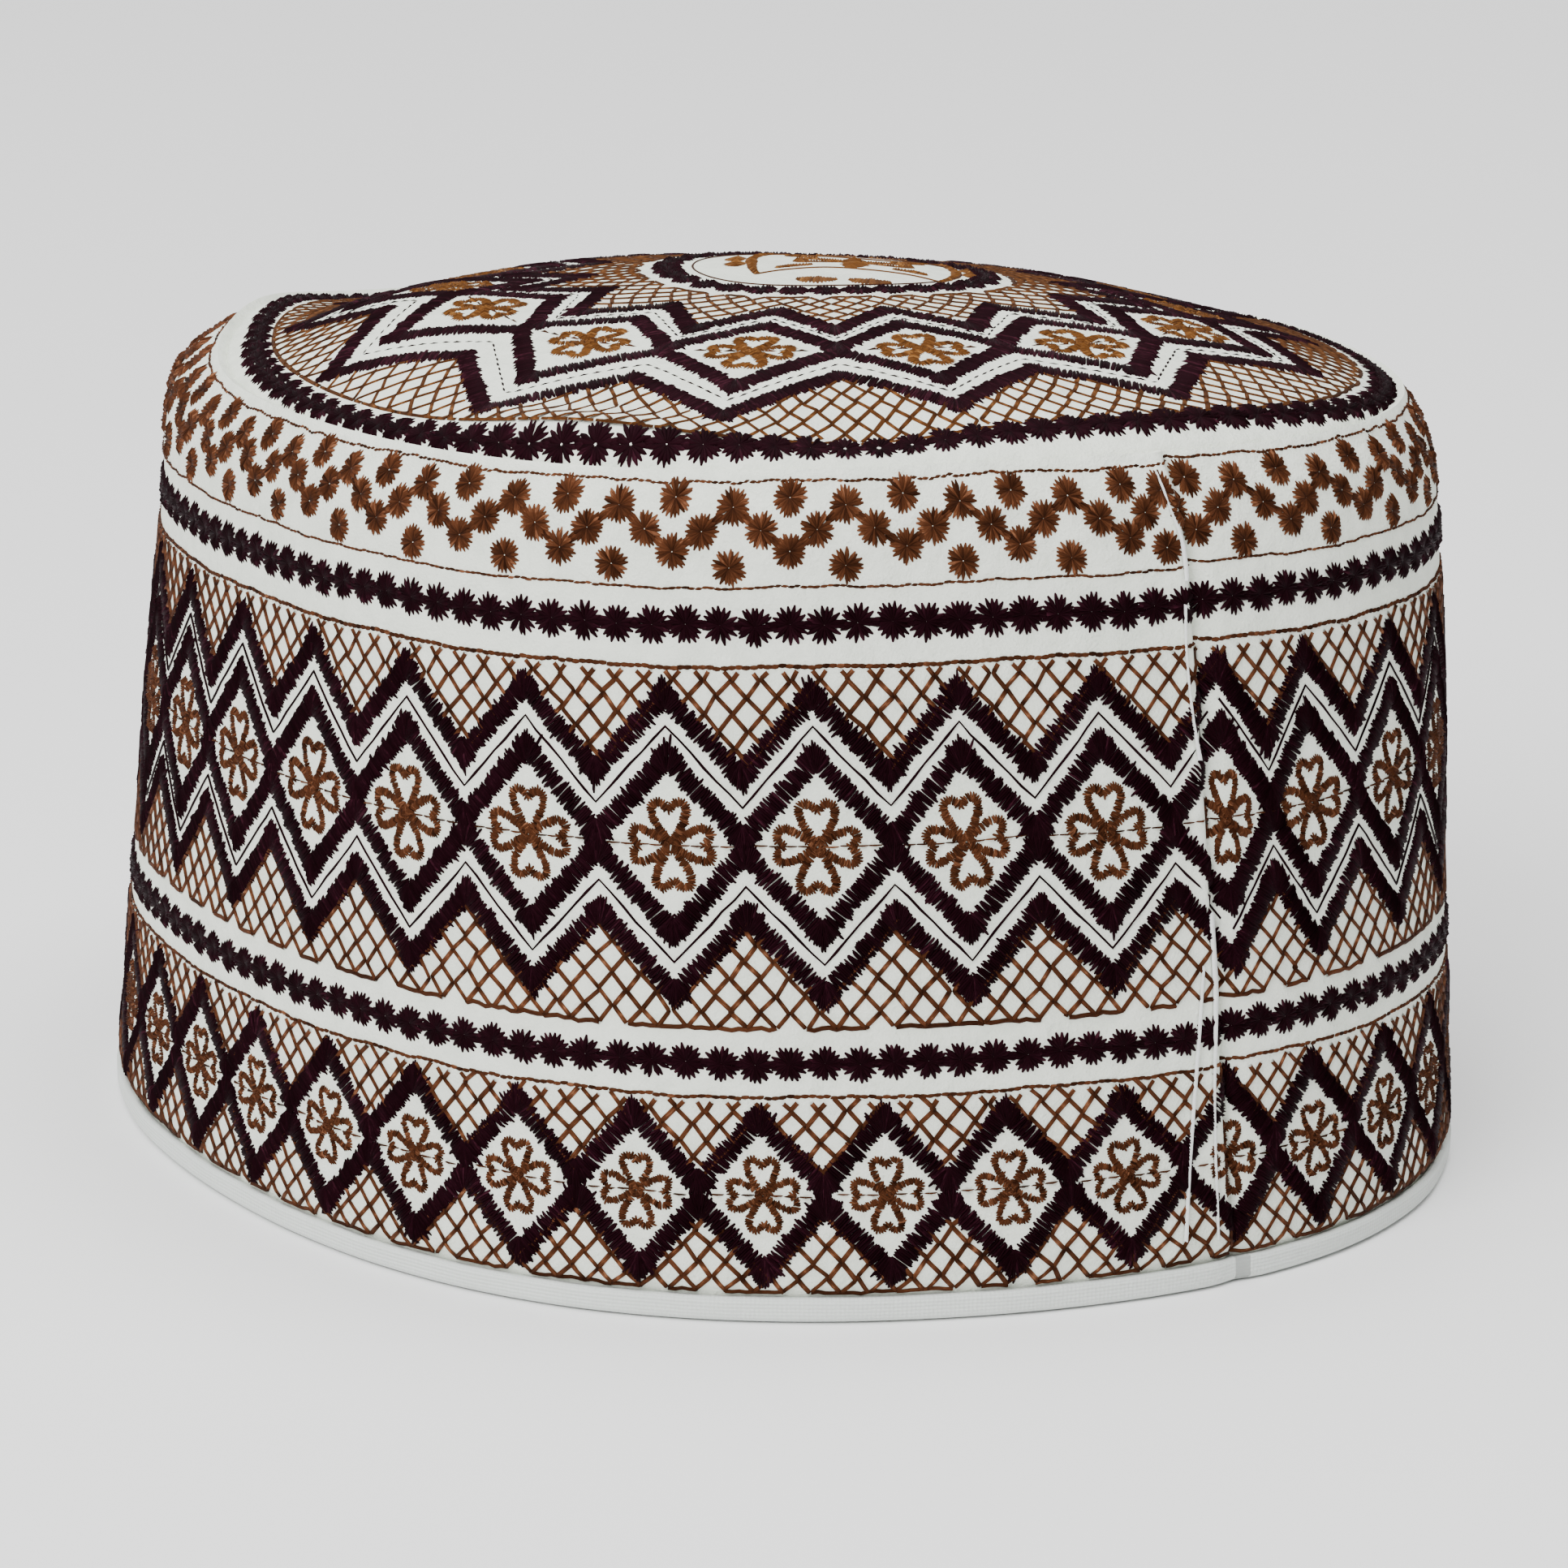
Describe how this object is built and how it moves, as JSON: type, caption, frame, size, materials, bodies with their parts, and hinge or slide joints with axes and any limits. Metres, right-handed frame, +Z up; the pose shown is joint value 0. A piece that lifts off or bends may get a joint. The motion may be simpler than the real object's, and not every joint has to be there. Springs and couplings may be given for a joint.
{
  "type": "embroidered prayer cap",
  "caption": "Tall round cloth prayer cap with a tapered side wall, low domed crown, narrow hem tape and dense embroidered diamond, zigzag and rosette bands.",
  "frame": {"origin": "centre of the cap's box on the surface that the hem stands on", "axes": "+Z up through the crown, -Y to the front, +Y to the back seam, which is the cap's longer way"},
  "size_m": [0.1828, 0.1956, 0.1235],
  "materials": {
    "crown_cloth": "matt off-white brushed cotton",
    "wall_cloth": "matt off-white brushed cotton",
    "hem_tape": "plain woven pale grey-white tape",
    "dark_thread": "satin-stitched very dark maroon embroidery thread with a soft sheen",
    "brown_thread": "satin-stitched warm brown embroidery thread with a soft sheen",
    "white_thread": "plain white sewing thread"
  },
  "bodies": {
    "root": {"crown": "crown_cloth", "side_wall": "wall_cloth", "hem_binding": "hem_tape"}
  },
  "joints": []
}
